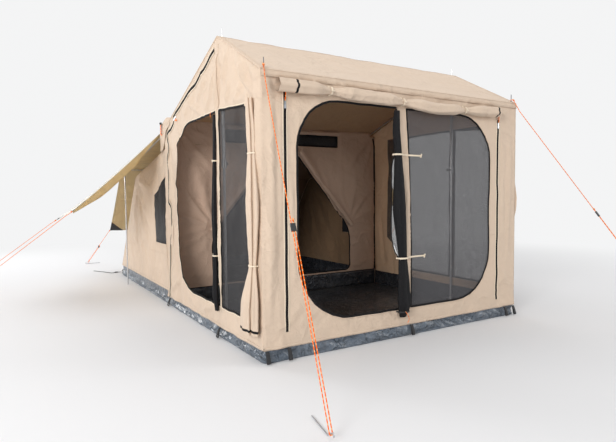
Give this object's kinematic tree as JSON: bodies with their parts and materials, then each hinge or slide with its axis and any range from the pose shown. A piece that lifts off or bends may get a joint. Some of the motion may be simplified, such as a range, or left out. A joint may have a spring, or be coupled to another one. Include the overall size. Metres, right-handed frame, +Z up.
{
  "type": "canvas touring tent",
  "caption": "Frame tent of canvas with a netted living room, a low bedroom behind it, a fly sheet, telescopic poles, folding rear legs, guy ropes and pegs.",
  "frame": {"origin": "on the ground under the middle of the tent, fly sheet included and ropes left out", "axes": "+Z up, +Y from the front doors to the back, +X to the right of a person who faces the front doors"},
  "size_m": [6.0084, 6.9384, 2.235],
  "materials": {
    "sand_canvas": "matt ripstop polycotton canvas",
    "brown_canvas": "matt canvas seen in shade",
    "grey_pvc": "satin reinforced PVC sheet",
    "black_net": "fine black insect mesh",
    "fly_cloth": "coated polyester fly, straw colour",
    "pole_metal": "satin drawn tube",
    "black_plastic": "moulded nylon",
    "orange_rope": "braided cord",
    "peg_steel": "zinc-plated wire",
    "zip_metal": "cast slider with a cord pull"
  },
  "bodies": {
    "root": {"living_roof": "sand_canvas", "bedroom_roof": "sand_canvas", "front_wall": "sand_canvas", "left_wall": "sand_canvas", "right_wall": "sand_canvas", "bedroom_left_wall": "sand_canvas", "bedroom_right_wall": "sand_canvas", "front_canvas_roll": "sand_canvas", "left_canvas_bundle": "sand_canvas", "right_canvas_bundle": "sand_canvas", "divider_wall": "brown_canvas", "tub_floor": "grey_pvc", "front_mesh": "black_net", "left_mesh": "black_net", "right_mesh": "black_net", "front_mesh_roll": "black_net", "left_mesh_roll": "black_net", "fly_sheet": "fly_cloth", "peak_pole_upper_left": "pole_metal", "peak_pole_upper_right": "pole_metal", "corner_pole_left": "pole_metal", "corner_pole_right": "pole_metal", "ridge_bar": "pole_metal", "knee_bar": "pole_metal", "roof_rail_left": "pole_metal", "roof_rail_right": "pole_metal", "fly_rail_left": "pole_metal", "fly_rail_right": "pole_metal", "hub_left": "black_plastic", "hub_right": "black_plastic", "front_guy_left": "orange_rope", "front_guy_right": "orange_rope", "wing_front_guy_left": "orange_rope", "wing_front_guy_right": "orange_rope", "wing_rear_guy_left": "orange_rope", "wing_rear_guy_right": "orange_rope", "rear_guy_left": "orange_rope", "rear_guy_right": "orange_rope", "front_peg_left": "peg_steel", "front_peg_right": "peg_steel", "wing_front_peg_left": "peg_steel", "wing_front_peg_right": "peg_steel", "wing_rear_peg_left": "peg_steel", "wing_rear_peg_right": "peg_steel", "rear_peg_left": "peg_steel", "rear_peg_right": "peg_steel"},
    "peak_pole_lower_left": {"peak_pole_lower_left": "pole_metal"},
    "peak_pole_lower_right": {"peak_pole_lower_right": "pole_metal"},
    "clamp_lever_left": {"clamp_lever_left": "black_plastic"},
    "clamp_lever_right": {"clamp_lever_right": "black_plastic"},
    "rear_leg_left": {"rear_leg_left": "pole_metal"},
    "rear_leg_right": {"rear_leg_right": "pole_metal"},
    "front_slider_left": {"front_slider_left": "zip_metal"},
    "front_slider_right": {"front_slider_right": "zip_metal"},
    "side_slider_left": {"side_slider_left": "zip_metal"},
    "side_slider_right": {"side_slider_right": "zip_metal"},
    "front_runner_left": {"front_runner_left": "black_plastic"},
    "front_runner_right": {"front_runner_right": "black_plastic"},
    "rear_runner_left": {"rear_runner_left": "black_plastic"},
    "rear_runner_right": {"rear_runner_right": "black_plastic"}
  },
  "joints": [
    {"name": "peak_pole_telescope_left", "type": "slide", "parent": "root", "child": "peak_pole_lower_left", "axis": [0, 0, 1], "range_m": [0, 0.4]},
    {"name": "clamp_lever_pin_left", "type": "hinge", "parent": "root", "child": "clamp_lever_left", "pos_m": [-1.1407, -1.54435, 1.27], "axis": [0, 0, 1], "range_deg": [-100, 0]},
    {"name": "rear_leg_fold_left", "type": "hinge", "parent": "root", "child": "rear_leg_left", "pos_m": [-1.302, 1.21065, 1.36], "axis": [1, 0, 0], "range_deg": [-85, 0]},
    {"name": "front_zip_left", "type": "slide", "parent": "root", "child": "front_slider_left", "axis": [0, 0, -1], "range_m": [0, 1.35]},
    {"name": "side_zip_left", "type": "slide", "parent": "root", "child": "side_slider_left", "axis": [0, -0.9437, 0.3309], "range_m": [0, 1]},
    {"name": "front_runner_slide_left", "type": "slide", "parent": "root", "child": "front_runner_left", "axis": [-0.105, -0.4925, -0.8639], "range_m": [0, 0.15]},
    {"name": "rear_runner_slide_left", "type": "slide", "parent": "root", "child": "rear_runner_left", "axis": [-0.0971, 0.9039, -0.4165], "range_m": [0, 0.15]},
    {"name": "peak_pole_telescope_right", "type": "slide", "parent": "root", "child": "peak_pole_lower_right", "axis": [0, 0, 1], "range_m": [0, 0.4]},
    {"name": "clamp_lever_pin_right", "type": "hinge", "parent": "root", "child": "clamp_lever_right", "pos_m": [1.1407, -1.54435, 1.27], "axis": [0, 0, 1], "range_deg": [0, 100]},
    {"name": "rear_leg_fold_right", "type": "hinge", "parent": "root", "child": "rear_leg_right", "pos_m": [1.302, 1.21065, 1.36], "axis": [1, 0, 0], "range_deg": [-85, 0]},
    {"name": "front_zip_right", "type": "slide", "parent": "root", "child": "front_slider_right", "axis": [0, 0, -1], "range_m": [0, 1.35]},
    {"name": "side_zip_right", "type": "slide", "parent": "root", "child": "side_slider_right", "axis": [0, -0.9437, 0.3309], "range_m": [0, 1]},
    {"name": "front_runner_slide_right", "type": "slide", "parent": "root", "child": "front_runner_right", "axis": [0.1781, -0.5398, -0.8227], "range_m": [0, 0.15]},
    {"name": "rear_runner_slide_right", "type": "slide", "parent": "root", "child": "rear_runner_right", "axis": [0.0971, 0.9039, -0.4165], "range_m": [0, 0.15]}
  ]
}
